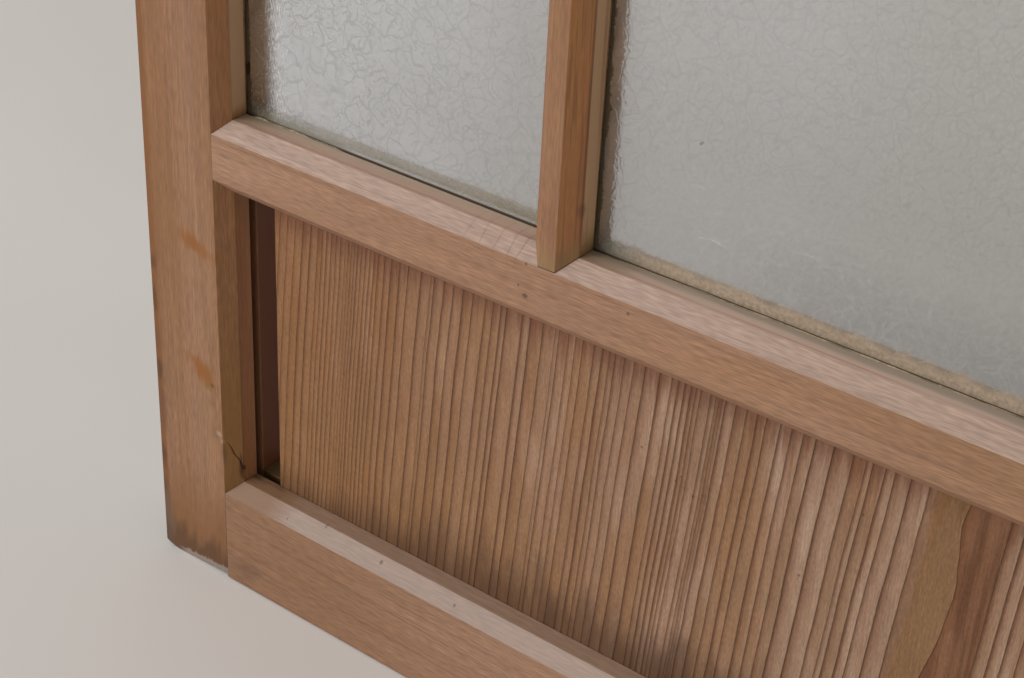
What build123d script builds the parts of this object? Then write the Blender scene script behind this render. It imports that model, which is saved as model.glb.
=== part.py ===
"""A fixed glass window leaf in softwood joinery.

Two stiles, three rails and two muntins hold three patterned panes over one thin kick board.
Every opening has a wide chamfer round it in front and a narrow one behind, and the shoulders of
every joint are coped over those chamfers, so that they read as mitres.

X runs across the leaf, Y from its front to its back and Z up. The origin is at the middle of
the underside, halfway through the thickness. The front faces -Y.
"""

import os

from build123d import *

# The leaf
leaf_width = 760.0
leaf_height = 1100.0
leaf_thickness = 31.0

# Members, measured on the face with their chamfers
stile_width = 41.2
top_rail_height = 41.2
mid_rail_height = 28.3
bottom_rail_height = 47.3
muntin_width = 17.0

# The mid rail and the muntins are flush in front and thinner than the rest of the leaf
light_thickness = 25.5

# Openings between the members
kick_opening_height = 127.3
side_pane_width = 135.0

# Arrises: round each opening a wide chamfer in front and a narrow one behind, and a small one
# on the outer edges
chamfer_face = 5.2
chamfer_depth = 5.6
back_chamfer = 2.0
eased_arris = 0.8

# The ploughed groove that holds the glass and the board
groove_lip = 12.9
groove_width = 3.6
groove_depth = 7.0
muntin_groove_depth = 4.5

# What sits in the groove
glass_thickness = 2.0
board_thickness = 3.4
edge_play = 1.0
face_play = 0.1
board_shrinkage = 12.8

# Joints
joint_gap = 0.1
tenon_thickness = 9.0
bottom_tenon_height = 26.0
mid_tenon_length = 25.0
top_tenon_height = 21.0
twin_tenon_thickness = 5.0
twin_tenon_wall = 0.8
muntin_tenon_width = 6.0
muntin_tenon_length = 12.0
tenon_end_play = 0.5

# Wedges, driven in from the outer edge above and below the bottom rail's tenons
wedge_head = 3.0
wedge_length = 24.0
flare_length = 28.0

# The stiles' feet, worn short towards the opening, with a bevel along each face
foot_wear = 2.0
foot_bevel_height = 3.2
foot_bevel_depth = 0.8
worn_corner_width = 10.0
worn_corner_height = 4.6

# The split in the left stile's chamfer: its width, its depth from the front, and how far each of
# its bends lies from the stile's inner edge and above the bottom rail
split_width = 0.5
split_depth = 7.0
split_bends = ((3.0, 16.2), (2.2, 13.0), (1.4, 11.4), (0.8, 9.8), (0.3, 7.0), (0.1, 1.0))
split_tip = (4.1, 19.5)

# The kick board's growth rings, run after run from its left edge: how many rings each run has, and
# how wide they are. The soft wood has weathered down beside each ring's hard edge, and the rings
# lean to the right
ring_counts = (7, 6, 4, 5, 2, 3, 5, 4, 4, 7, 5, 5, 5, 3, 5, 2, 2, 8, 1, 1, 3)
ring_widths = (
    3.8, 2.2, 1.4, 2.0, 2.9, 4.3, 4.5, 3.7, 5.1, 3.5, 4.4, 2.1, 1.8, 3.9, 4.1, 3.1, 5.5, 2.6,
    15.5, 13.0, 4.3,
)
ring_step = 0.4
ring_slope = 0.55
ring_lean = 0.065

# Places across the leaf
stile_outer = leaf_width / 2
stile_inner = stile_outer - stile_width
stile_arris = stile_inner + chamfer_face
muntin_outer = stile_inner - side_pane_width
muntin_centre = muntin_outer - muntin_width / 2
muntin_inner = muntin_outer - muntin_width

# Places up the leaf
mid_rail_low = bottom_rail_height + kick_opening_height
mid_rail_high = mid_rail_low + mid_rail_height
top_rail_low = leaf_height - top_rail_height

# How steeply the stiles' feet are worn
foot_slope = foot_wear / (stile_width - worn_corner_width)

# Places through the thickness
front = -leaf_thickness / 2
back = leaf_thickness / 2
light_back = front + light_thickness
groove_front = front + groove_lip
groove_back = groove_front + groove_width
groove_centre = (groove_front + groove_back) / 2

# Floors of the grooves, and the edges of what stands in them
mid_groove_floor = mid_rail_high - groove_depth
bottom_groove_floor = bottom_rail_height - groove_depth
pane_top = top_rail_low + groove_depth - edge_play
board_top = mid_rail_low + groove_depth - edge_play

# Heights of the tenons
bottom_tenon_high = bottom_groove_floor
bottom_tenon_low = bottom_tenon_high - bottom_tenon_height
mid_tenon_low = mid_rail_low + groove_depth
mid_tenon_high = mid_groove_floor
top_tenon_low = top_rail_low + (top_rail_height - top_tenon_height) / 2
top_tenon_high = top_tenon_low + top_tenon_height

# A rail is drawn across its section, with its height along the sketch's x and its thickness
# along y, and then runs both ways from the middle of the leaf
rail_plane = Plane(origin=(0, 0, 0), x_dir=(0, 0, 1), z_dir=(-1, 0, 0))


def arris_sizes(chamfered):
    """An edge's chamfer across the front and into it, and its chamfer behind."""
    if chamfered:
        return chamfer_face, chamfer_depth, back_chamfer
    return eased_arris, eased_arris, eased_arris


def member_outline(low, high, low_chamfered, high_chamfered, grow=0.0, rear=back):
    """Draw a member's section between two edges, each chamfered or with an eased arris."""
    low_face, low_depth, low_back = arris_sizes(low_chamfered)
    high_face, high_depth, high_back = arris_sizes(high_chamfered)
    Polygon(
        (low - grow, front + low_depth),
        (low + low_face - grow, front),
        (high - high_face + grow, front),
        (high + grow, front + high_depth),
        (high + grow, rear - high_back),
        (high - high_back + grow, rear),
        (low + low_back - grow, rear),
        (low - grow, rear - low_back),
        align=None,
    )


def block(x_range, y_range, z_range, mode=Mode.ADD):
    """Add or cut a square block between two places on each axis."""
    size = [high - low for low, high in (x_range, y_range, z_range)]
    middle = [(high + low) / 2 for low, high in (x_range, y_range, z_range)]
    with Locations(tuple(middle)):
        Box(*size, mode=mode)


def cope_to_stiles():
    """Cut a rail's ends to the stiles' inner faces and chamfers, a glue line clear of them."""
    with BuildSketch(Plane.XY) as stile_shadow:
        member_outline(stile_inner, stile_outer, True, False, grow=joint_gap)
        mirror(about=Plane.YZ)
    extrude(stile_shadow.sketch, amount=leaf_height, mode=Mode.SUBTRACT)


def spread(low, high, clearance):
    """Widen a range by a clearance at each end."""
    return (low - clearance, high + clearance)


def tenon_thickness_range(clearance=0.0):
    """Where a single tenon lies through the thickness: in line with the groove."""
    return spread(groove_centre - tenon_thickness / 2, groove_centre + tenon_thickness / 2, clearance)


def twin_tenon_ranges(clearance=0.0):
    """Where the top rail's two tenons lie, one each side of the slot that the glass drops through."""
    front_tenon = (groove_front - twin_tenon_wall - twin_tenon_thickness, groove_front - twin_tenon_wall)
    back_tenon = (groove_back + twin_tenon_wall, groove_back + twin_tenon_wall + twin_tenon_thickness)
    return [spread(*front_tenon, clearance), spread(*back_tenon, clearance)]


def both_ends(x_range):
    """A range at the right end of a rail and its mirror at the left end."""
    near, far = x_range
    return [(near, far), (-far, -near)]


def split_place(bend, side):
    """A point on one side of the split in the left stile, seen from the front."""
    inset, height = bend
    return (-stile_inner - inset + side, bottom_rail_height + height)


def ring_edges(start, end):
    """Where the growth rings' hard edges lie, run after run, until they pass a place."""
    edges = [start]
    while edges[-1] < end:
        for count, width in zip(ring_counts, ring_widths):
            edges += [edges[-1] + width * (ring + 1) for ring in range(count)]
    return edges


def wedge_outline(upper, clearance):
    """Draw one right-hand wedge seen from the front, or the flare that it fills."""
    length = flare_length if clearance else wedge_length
    direction = 1 if upper else -1
    seat = bottom_tenon_high if upper else bottom_tenon_low
    tip_height = wedge_head * (1 - length / flare_length)
    near_face = 0.0 if clearance else joint_gap
    Polygon(
        (stile_outer - length, seat + direction * near_face),
        (stile_outer, seat + direction * near_face),
        (stile_outer, seat + direction * (wedge_head + joint_gap + clearance)),
        (stile_outer - length, seat + direction * (tip_height + joint_gap + clearance)),
        align=None,
    )


# Right stile: chamfered on its inner arrises, grooved along its whole inner edge, with a
# flared through mortise, a blind mortise and a twin through mortise
with BuildPart() as right_stile:
    with BuildSketch(Plane.XY):
        member_outline(stile_inner, stile_outer, True, False)
    extrude(amount=leaf_height)

    block(
        (stile_inner, stile_inner + groove_depth),
        (groove_front, groove_back),
        (0, leaf_height),
        Mode.SUBTRACT,
    )

    # The foot, worn away in a slope towards the opening, with bevels front and back
    with BuildSketch(Plane.XZ):
        Polygon(
            (stile_inner, 0),
            (stile_outer - worn_corner_width, 0),
            (stile_inner, foot_wear),
            align=None,
        )
    extrude(amount=leaf_thickness, both=True, mode=Mode.SUBTRACT)
    with BuildSketch(Plane.YZ.offset(stile_inner)):
        for face, inward in ((front, 1), (back, -1)):
            Polygon(
                (face, 0),
                (face + inward * foot_bevel_depth, 0),
                (face + inward * foot_bevel_depth, foot_wear),
                (face, foot_wear + foot_bevel_height),
                align=None,
            )
    extrude(amount=stile_width, dir=(1, 0, -foot_slope), mode=Mode.SUBTRACT)

    # Through mortise for the bottom rail, flared above and below for its wedges
    block(
        (stile_inner, stile_outer),
        tenon_thickness_range(joint_gap),
        spread(bottom_tenon_low, bottom_tenon_high, joint_gap),
        Mode.SUBTRACT,
    )
    with BuildSketch(Plane.XZ.offset(-groove_centre)):
        wedge_outline(True, joint_gap)
        wedge_outline(False, joint_gap)
    extrude(amount=tenon_thickness / 2 + joint_gap, both=True, mode=Mode.SUBTRACT)

    # Blind mortise for the mid rail
    block(
        (stile_inner, stile_inner + mid_tenon_length + tenon_end_play),
        tenon_thickness_range(joint_gap),
        spread(mid_tenon_low, mid_tenon_high, joint_gap),
        Mode.SUBTRACT,
    )

    # Twin through mortises for the top rail
    for thickness_range in twin_tenon_ranges(joint_gap):
        block(
            (stile_inner, stile_outer),
            thickness_range,
            spread(top_tenon_low, top_tenon_high, joint_gap),
            Mode.SUBTRACT,
        )

# Left stile: the same, with the outer corner of its foot worn round and a split in its chamfer
with BuildPart() as left_stile:
    mirror(right_stile.part, about=Plane.YZ)
    with BuildSketch(Plane.XZ):
        with BuildLine():
            Polyline(
                (-stile_outer + worn_corner_width, 0),
                (-stile_outer, 0),
                (-stile_outer, worn_corner_height),
            )
            EllipticalCenterArc(
                (-stile_outer + worn_corner_width, worn_corner_height),
                worn_corner_width,
                worn_corner_height,
                start_angle=180,
                arc_size=90,
            )
        make_face()
    extrude(amount=leaf_thickness, both=True, mode=Mode.SUBTRACT)
    with BuildSketch(Plane.XZ.offset(-front)):
        left_side = [split_place(bend, -split_width / 2) for bend in split_bends]
        right_side = [split_place(bend, split_width / 2) for bend in split_bends]
        Polygon(split_place(split_tip, 0), *right_side, *reversed(left_side), align=None)
    extrude(amount=-split_depth, mode=Mode.SUBTRACT)

# Bottom rail: chamfered and grooved along its top, with wedged through tenons
with BuildPart() as bottom_rail:
    with BuildSketch(rail_plane):
        member_outline(0, bottom_rail_height, False, True)
    extrude(amount=stile_arris, both=True)
    cope_to_stiles()
    block(
        (-stile_arris, stile_arris),
        (groove_front, groove_back),
        (bottom_groove_floor, bottom_rail_height),
        Mode.SUBTRACT,
    )
    for end in both_ends((stile_inner - joint_gap, stile_outer)):
        block(end, tenon_thickness_range(), (bottom_tenon_low, bottom_tenon_high))

# Mid rail: set in behind, chamfered and grooved along both edges, with blind tenons and
# muntin mortises
with BuildPart() as mid_rail:
    with BuildSketch(rail_plane):
        member_outline(mid_rail_low, mid_rail_high, True, True, rear=light_back)
    extrude(amount=stile_arris, both=True)
    cope_to_stiles()
    for groove in ((mid_rail_low, mid_rail_low + groove_depth), (mid_groove_floor, mid_rail_high)):
        block((-stile_arris, stile_arris), (groove_front, groove_back), groove, Mode.SUBTRACT)
    for end in both_ends((stile_inner - joint_gap, stile_inner + mid_tenon_length)):
        block(end, tenon_thickness_range(), (mid_tenon_low, mid_tenon_high))
    for muntin in both_ends(spread(muntin_centre, muntin_centre, muntin_tenon_width / 2 + joint_gap)):
        block(
            muntin,
            tenon_thickness_range(joint_gap),
            (mid_rail_high - muntin_tenon_length - tenon_end_play, mid_rail_high),
            Mode.SUBTRACT,
        )

# Top rail: chamfered below and slotted right through over each pane, because the glass is
# dropped in from above, with twin tenons that leave the slot free
with BuildPart() as top_rail:
    with BuildSketch(rail_plane):
        member_outline(top_rail_low, leaf_height, True, False)
    extrude(amount=stile_arris, both=True)
    cope_to_stiles()
    slot_edge = muntin_outer - muntin_groove_depth
    centre_slot_edge = muntin_inner + muntin_groove_depth
    slots = both_ends((slot_edge, stile_arris)) + [(-centre_slot_edge, centre_slot_edge)]
    for slot in slots:
        block(slot, (groove_front, groove_back), (top_rail_low, leaf_height), Mode.SUBTRACT)
    for end in both_ends((stile_inner - joint_gap, stile_outer)):
        for thickness_range in twin_tenon_ranges():
            block(end, thickness_range, (top_tenon_low, top_tenon_high))
    for muntin in both_ends(spread(muntin_centre, muntin_centre, muntin_tenon_width / 2 + joint_gap)):
        block(
            muntin,
            tenon_thickness_range(joint_gap),
            (top_rail_low, top_rail_low + muntin_tenon_length + tenon_end_play),
            Mode.SUBTRACT,
        )

# Muntins: chamfered on all four arrises, grooved on both edges, coped over the rails' chamfers
# and held by a stub tenon at each end
with BuildPart() as right_muntin:
    with BuildSketch(Plane.XY.offset(mid_rail_high - chamfer_face)):
        member_outline(muntin_inner, muntin_outer, True, True, rear=light_back)
    extrude(amount=top_rail_low - mid_rail_high + 2 * chamfer_face)
    with BuildSketch(rail_plane):
        member_outline(mid_rail_low, mid_rail_high, True, True, grow=joint_gap, rear=light_back)
        member_outline(top_rail_low, leaf_height, True, False, grow=joint_gap)
    extrude(amount=stile_outer, both=True, mode=Mode.SUBTRACT)
    inner_groove = (muntin_inner, muntin_inner + muntin_groove_depth)
    outer_groove = (muntin_outer - muntin_groove_depth, muntin_outer)
    for groove in (inner_groove, outer_groove):
        block(groove, (groove_front, groove_back), (mid_rail_low, leaf_height), Mode.SUBTRACT)
    block(
        spread(muntin_centre, muntin_centre, muntin_tenon_width / 2),
        tenon_thickness_range(),
        (mid_rail_high - muntin_tenon_length, top_rail_low + muntin_tenon_length),
    )

with BuildPart() as left_muntin:
    mirror(right_muntin.part, about=Plane.YZ)

# Glass: three panes standing on the mid rail's groove floor, against the back of the groove
pane_back = groove_back - face_play
pane_faces = (pane_back - glass_thickness, pane_back)
pane_heights = (mid_groove_floor, pane_top)

with BuildPart() as glass_right:
    block(
        (slot_edge + edge_play, stile_inner + groove_depth - edge_play),
        pane_faces,
        pane_heights,
    )

with BuildPart() as glass_left:
    mirror(glass_right.part, about=Plane.YZ)

with BuildPart() as glass_centre:
    block(
        (-centre_slot_edge + edge_play, centre_slot_edge - edge_play),
        pane_faces,
        pane_heights,
    )

# Kick board: one thin board, held along its top, bottom and right edges. It has shrunk out of
# the left stile's groove and stands clear of it. Its rings' hard edges stand proud in front
board_left = -stile_inner + board_shrinkage
board_right = stile_inner + groove_depth - edge_play
board_front = groove_front + face_play
board_back = board_front + board_thickness
board_height = board_top - bottom_groove_floor
lean_run = ring_lean * board_height

with BuildPart() as kick_board:
    with BuildSketch(Plane.XY.offset(bottom_groove_floor)):
        edges = ring_edges(board_left - 1.5 * lean_run, board_right)
        surface = [(edges[0], board_back)]
        for near, far in zip(edges, edges[1:]):
            surface.append((near, board_front + ring_step))
            surface.append((near + ring_slope * (far - near), board_front))
            surface.append((far, board_front))
        Polygon(*surface, (edges[-1], board_back), align=None)
    extrude(amount=2 * board_height, dir=(ring_lean, 0, 1))
    block(
        (board_left, board_right),
        (board_front, board_back),
        (bottom_groove_floor, board_top),
        Mode.INTERSECT,
    )

pieces = {
    "left_stile": left_stile,
    "right_stile": right_stile,
    "bottom_rail": bottom_rail,
    "mid_rail": mid_rail,
    "top_rail": top_rail,
    "left_muntin": left_muntin,
    "right_muntin": right_muntin,
    "glass_left": glass_left,
    "glass_centre": glass_centre,
    "glass_right": glass_right,
    "kick_board": kick_board,
}

# Wedges: one above and one below each end of the bottom rail
for position, upper in (("upper", True), ("lower", False)):
    with BuildPart() as right_wedge:
        with BuildSketch(Plane.XZ.offset(-groove_centre)):
            wedge_outline(upper, 0.0)
        extrude(amount=tenon_thickness / 2, both=True)
    with BuildPart() as left_wedge:
        mirror(right_wedge.part, about=Plane.YZ)
    pieces["right_" + position + "_wedge"] = right_wedge
    pieces["left_" + position + "_wedge"] = left_wedge

os.makedirs("parts", exist_ok=True)
for name, piece in pieces.items():
    piece.part.label = name
    export_step(piece.part, "parts/" + name + ".step")
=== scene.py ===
"""Dresses the fixed glass window leaf: washed cedar, flake-figured glass and a weathered board."""
import math
import random

import bmesh
import bpy
from mathutils import Matrix, Vector, noise


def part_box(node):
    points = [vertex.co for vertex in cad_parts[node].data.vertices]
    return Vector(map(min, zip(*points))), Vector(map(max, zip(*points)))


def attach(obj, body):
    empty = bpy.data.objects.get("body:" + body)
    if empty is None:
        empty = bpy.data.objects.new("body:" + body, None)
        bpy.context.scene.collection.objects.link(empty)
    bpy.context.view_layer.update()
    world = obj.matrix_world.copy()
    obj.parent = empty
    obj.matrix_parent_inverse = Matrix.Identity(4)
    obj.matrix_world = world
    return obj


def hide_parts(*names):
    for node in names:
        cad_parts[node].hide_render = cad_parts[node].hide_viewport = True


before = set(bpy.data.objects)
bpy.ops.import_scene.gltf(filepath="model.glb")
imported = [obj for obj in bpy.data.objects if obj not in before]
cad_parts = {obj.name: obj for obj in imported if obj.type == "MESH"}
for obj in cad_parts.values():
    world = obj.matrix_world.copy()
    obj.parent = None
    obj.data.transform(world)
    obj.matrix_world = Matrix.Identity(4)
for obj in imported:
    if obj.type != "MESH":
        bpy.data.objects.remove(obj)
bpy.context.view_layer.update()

MM = 0.001

# The joinery, as the CAD has it
CHAMFER_FACE = 5.2 * MM
CHAMFER_DEPTH = 5.6 * MM
CHAMFER_SLOPE = CHAMFER_FACE / CHAMFER_DEPTH
GROOVE_LIP = 12.9 * MM
# The stiles' feet slope up towards the opening, from a line this far out
FOOT_SLOPE = 0.064
FOOT_TOE = 370 * MM

# Places read from the frame
STILE_LOW, STILE_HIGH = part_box("left_stile")
STILE_OUTER, STILE_INNER = STILE_LOW.x, STILE_HIGH.x
HALF_OPENING = -STILE_INNER
FRONT = STILE_LOW.y
FLAT_START = FRONT + CHAMFER_DEPTH
GROOVE_FRONT = FRONT + GROOVE_LIP
GLASS_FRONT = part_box("glass_centre")[0].y
BOTTOM_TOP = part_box("bottom_rail")[1].z
MID_LOW, MID_HIGH = (corner.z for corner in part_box("mid_rail"))
TOP_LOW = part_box("top_rail")[0].z
MUNTIN_LOW, MUNTIN_HIGH = (corner.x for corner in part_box("left_muntin"))
BOARD_LOW, BOARD_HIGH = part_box("kick_board")

# What a soft noise's values mostly run between, and those of a noise of fibres or grit
NOISE_RANGE = {"From Min": 0.3, "From Max": 0.7}
FIBRE_RANGE = {"From Min": 0.3, "From Max": 0.8}


def linear(hex_colour, alpha=1.0):
    """An sRGB hex colour as linear red, green, blue and alpha."""
    parts = [int(hex_colour[i : i + 2], 16) / 255 for i in (1, 3, 5)]
    curve = [c / 12.92 if c <= 0.04045 else ((c + 0.055) / 1.055) ** 2.4 for c in parts]
    return (*curve, alpha)


def add(tree, kind, inputs=None, out=0, **settings):
    """Add a node with its settings, values and links, and return one of its outputs.

    Colours are given as sRGB hex.
    """
    node = tree.nodes.new("ShaderNode" + kind)
    for name, value in settings.items():
        setattr(node, name, value)
    for name, value in (inputs or {}).items():
        if isinstance(value, bpy.types.NodeSocket):
            tree.links.new(value, node.inputs[name])
        else:
            node.inputs[name].default_value = linear(value) if isinstance(value, str) else value
    return node.outputs[out] if len(node.outputs) else node


# The Mix node's sockets for colours: factor, first and second colour, and its result
FACTOR, FIRST, SECOND, MIXED = 0, 6, 7, 2


def where(tree, *ranges):
    """A soft mask, full where each value has run from its start to its end, and empty before."""
    mask = None
    for value, start, end in ranges:
        inputs = {"Value": value, "From Min": start, "From Max": end}
        step = add(tree, "MapRange", inputs, interpolation_type="SMOOTHSTEP")
        mask = step if mask is None else add(tree, "Math", {0: mask, 1: step}, operation="MULTIPLY")
    return mask


def lay(tree, under, over, strength, *ranges):
    """Lay one colour over another, where each value has run from its start to its end."""
    mask = add(tree, "Math", {0: where(tree, *ranges), 1: strength}, operation="MULTIPLY")
    return add(tree, "Mix", {FACTOR: mask, FIRST: under, SECOND: over}, out=MIXED, data_type="RGBA")


def threads(tree, place, across, width, length, **noise_inputs):
    """A noise of marks that are as wide over the grain and as long down it as given, in mm."""
    squeeze = width / length
    stretch = (squeeze, 1.0, 1.0) if across else (1.0, 1.0, squeeze)
    drawn_out = add(tree, "Mapping", {"Vector": place, "Scale": stretch})
    return add(tree, "TexNoise", {"Vector": drawn_out, "Scale": 1 / (width * MM), **noise_inputs})


def grained(tree, colour, *grains):
    """Darken and lighten a colour about itself, by each noise as much as given."""
    shade = None
    for grain, amount in grains:
        inputs = {"Value": grain, **NOISE_RANGE, "To Min": 1 - amount, "To Max": 1 + amount}
        step = add(tree, "MapRange", inputs)
        shade = step if shade is None else add(tree, "Math", {0: shade, 1: step}, operation="MULTIPLY")
    return add(tree, "VectorMath", {0: colour, "Scale": shade}, operation="SCALE")


def spot(tree, place, centre, size, turn=0.0, ragged=None):
    """How far out a point lies in an oval spot, 1 at its edge.

    The centre and half sizes are in mm, and the turn is in degrees.
    """
    inputs = {
        "Vector": place,
        "Location": [value * MM for value in centre],
        "Rotation": (0.0, math.radians(turn), 0.0),
        "Scale": [value * MM for value in size],
    }
    local = add(tree, "Mapping", inputs, vector_type="TEXTURE")
    reach = add(tree, "VectorMath", {0: local}, out="Value", operation="LENGTH")
    return reach if ragged is None else add(tree, "Math", {0: reach, 1: ragged}, operation="ADD")


def apart(tree, value, level):
    """How far a value lies from a level, either way."""
    off = add(tree, "Math", {0: value, 1: level}, operation="SUBTRACT")
    return add(tree, "Math", {0: off}, operation="ABSOLUTE")


def film(tree, under, over, mask, strength=1.0):
    """Cover a shader with a dull colour, where the mask is full: dust and dirt, and painted light and
    shade.
    """
    cover = add(tree, "Math", {0: mask, 1: strength}, operation="MULTIPLY")
    return add(tree, "MixShader", {0: cover, 1: under, 2: add(tree, "BsdfDiffuse", {"Color": over})})


def dull_surface(tree, colour, grain, roughness, relief, specular, **bump_inputs):
    """End a dull material, whose roughness and fine relief both follow its grain.

    The roughness is given at its least and most, and the relief as a strength and a depth in mm.
    """
    smoothest, roughest = roughness
    rough = {"Value": grain, **FIBRE_RANGE, "To Min": smoothest, "To Max": roughest}
    strength, depth = relief
    bumped = {"Strength": strength, "Distance": depth * MM, "Height": grain, **bump_inputs}
    inputs = {
        "Base Color": colour,
        "Roughness": add(tree, "MapRange", rough),
        "Normal": add(tree, "Bump", bumped),
        "Specular IOR Level": specular,
    }
    add(tree, "OutputMaterial", {"Surface": add(tree, "BsdfPrincipled", inputs)})


def new_material(name):
    """An empty node material, its tree, and a point's place on the leaf."""
    material = bpy.data.materials.new(name)
    material.use_nodes = True
    material.node_tree.nodes.clear()
    return material, material.node_tree, add(material.node_tree, "TexCoord", out="Object")


# Washed cedar: the colours that time, washing and dirt have left on every member, with painted sheen and
# shade in some
WOOD_FIBRE_AND_SHADE = "#6b4730"
WOOD_TAN = "#8f673f"
WOOD_RED = "#8c5638"
WOOD_DUST_AND_SHEEN = "#b2a097"
ARRIS_WEAR_AND_HIGHLIGHT = "#ab8a70"
WOOD_GRIME_AND_SHADE = "#3f2c1e"
WOOD_END = "#6f4d35"
WOOD_STAIN = "#87521f"
WOOD_SCRAPED = "#a29389"
GREEN_DUST = "#a09b86"
DIRT_OLIVE = "#66603f"
JOINT_LINE = "#3f2a1c"

# How much a surface shines: bare hardwood as most things do, washed wood less, and dust hardly
HARD_SPECULAR = 0.5
DULL_SPECULAR = 0.35
DUSTY_SPECULAR = 0.2


class WashedCedar:
    """Cedar planed smooth and washed bare: dull, streaked along the grain, paler where it faces up with
    dust and painted sheen.
    """

    # How far into the wood a mark on its face reaches, in mm, so that it wraps round the chamfer
    MARK_DEPTH = 20

    def __init__(self, name, level, body, pink):
        self.material, self.tree, self.place = new_material(name)
        self.level = level
        tree = self.tree
        self.x, self.y, self.z = add(tree, "SeparateXYZ", {0: self.place}).node.outputs
        self.half = add(tree, "Math", {0: self.x}, operation="ABSOLUTE")
        self.normal = add(tree, "NewGeometry", out="Normal")
        self.facing_x, _, self.facing_z = add(tree, "SeparateXYZ", {0: self.normal}).node.outputs

        # Soft zones 16 mm wide, growth streaks 5 mm and 1.6 mm wide, mottling, and fibres and pores
        # drawn 0.8 mm and 0.5 mm wide so that they show
        zone = threads(tree, self.place, level, 16, 420, Detail=1.0)
        self.streak = threads(tree, self.place, level, 5, 170, Detail=2.0, Distortion=0.2)
        fine = threads(tree, self.place, level, 1.6, 70, Detail=2.0)
        mottle = threads(tree, self.place, level, 3, 11, Detail=1.0)
        self.fibre = threads(tree, self.place, level, 0.8, 34, Detail=3.0, Roughness=0.6)
        pore = threads(tree, self.place, level, 0.5, 5, Detail=0.0)
        blotch = threads(tree, self.place, level, 34, 70, Detail=2.0)
        self.colour = body
        self.lay(pink, 0.7, (zone, 0.38, 0.62))
        self.lay(pink, 0.22, (self.streak, 0.4, 0.64))
        self.lay(WOOD_TAN, 0.26, (blotch, 0.5, 0.72))
        # Rails are planed smoother than uprights
        self.coarse = 0.6 if level else 1.0
        self.grain = (
            (fine, 0.08),
            (mottle, 0.05 * self.coarse),
            (self.fibre, 0.12 * self.coarse),
            (pore, 0.14),
        )
        broken = add(tree, "Math", {0: self.fibre, 1: mottle}, operation="ADD")
        self.ragged = add(tree, "Math", {0: broken, 1: 1.4, 2: -1.4}, operation="MULTIPLY_ADD")

    def weather(self):
        """Dust and painted sheen on what faces up, darker end grain, rubbed arrises with painted highlight
        above and painted shade below, and hollows darkened by grime and painted shade.
        """
        tree = self.tree
        # Paler and greyer where it faces up: dust, with painted sheen from the light above
        self.lay(WOOD_DUST_AND_SHEEN, 0.5, (self.facing_z, 0.25, 0.7))
        cut = add(tree, "Math", {0: self.facing_x if self.level else self.facing_z}, operation="ABSOLUTE")
        self.lay(WOOD_END, 1.0, (cut, 0.9, 0.97))
        self.rounded = add(tree, "Bevel", {"Radius": 0.6 * MM}, samples=4)
        turns = {0: self.rounded, 1: self.normal}
        turned = add(tree, "VectorMath", turns, out="Value", operation="DOT_PRODUCT")
        upward = add(tree, "SeparateXYZ", {0: self.rounded}, out=2)
        on_arris = (turned, 0.995, 0.93)
        # Rubbed arrises, with a painted highlight on those that face up and painted shade on those that
        # face down
        self.lay(ARRIS_WEAR_AND_HIGHLIGHT, 0.3, on_arris, (upward, -0.25, -0.05))
        self.lay(WOOD_FIBRE_AND_SHADE, 0.5, on_arris, (upward, -0.05, -0.25))
        # Painted shade, with grime: darker in hollows and corners, as far as the occlusion finds them
        openness = add(tree, "AmbientOcclusion", {"Distance": 2.5 * MM}, out="AO", samples=4)
        self.lay(WOOD_GRIME_AND_SHADE, 0.5, (openness, 0.35, 0.1))
        self.colour = grained(tree, self.colour, *self.grain)

    def lay(self, over, strength, *ranges):
        """Lay a colour over the wood, where each value has run from its start to its end."""
        self.colour = lay(self.tree, self.colour, over, strength, *ranges)

    def mark(self, centre, size, over, strength, soft=0.5, turn=0.0):
        """Lay a stain, nick or knot on the wood, with a ragged edge that is soft as far as given."""
        reach = spot(self.tree, self.place, centre, size, turn, self.ragged)
        self.lay(over, strength, (reach, 1.0 + soft, 1.0 - soft))

    def mark_face(self, centre, size, *look):
        """Mark the wood's face, at a centre across and up, with half sizes across and up."""
        (x, z), (wide, tall) = centre, size
        self.mark((x, FRONT / MM, z), (wide, self.MARK_DEPTH, tall), *look)

    def shoulder(self, base, rise):
        """Where a coped shoulder's edge runs, from its place at the face on down the chamfer's slope."""
        depth = add(self.tree, "Math", {0: self.y, 1: FRONT}, operation="SUBTRACT")
        depth = add(self.tree, "Math", {0: depth, 1: CHAMFER_DEPTH}, operation="MINIMUM")
        inputs = {0: depth, 1: rise * CHAMFER_SLOPE, 2: base}
        return add(self.tree, "Math", inputs, operation="MULTIPLY_ADD")

    def finish(self):
        """Give the wood its dull sheen and its fine raised grain."""
        relief = (0.25 * self.coarse, 0.08)
        dull_surface(
            self.tree, self.colour, self.fibre, (0.48, 0.64), relief, DULL_SPECULAR, Normal=self.rounded
        )
        return self.material


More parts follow.
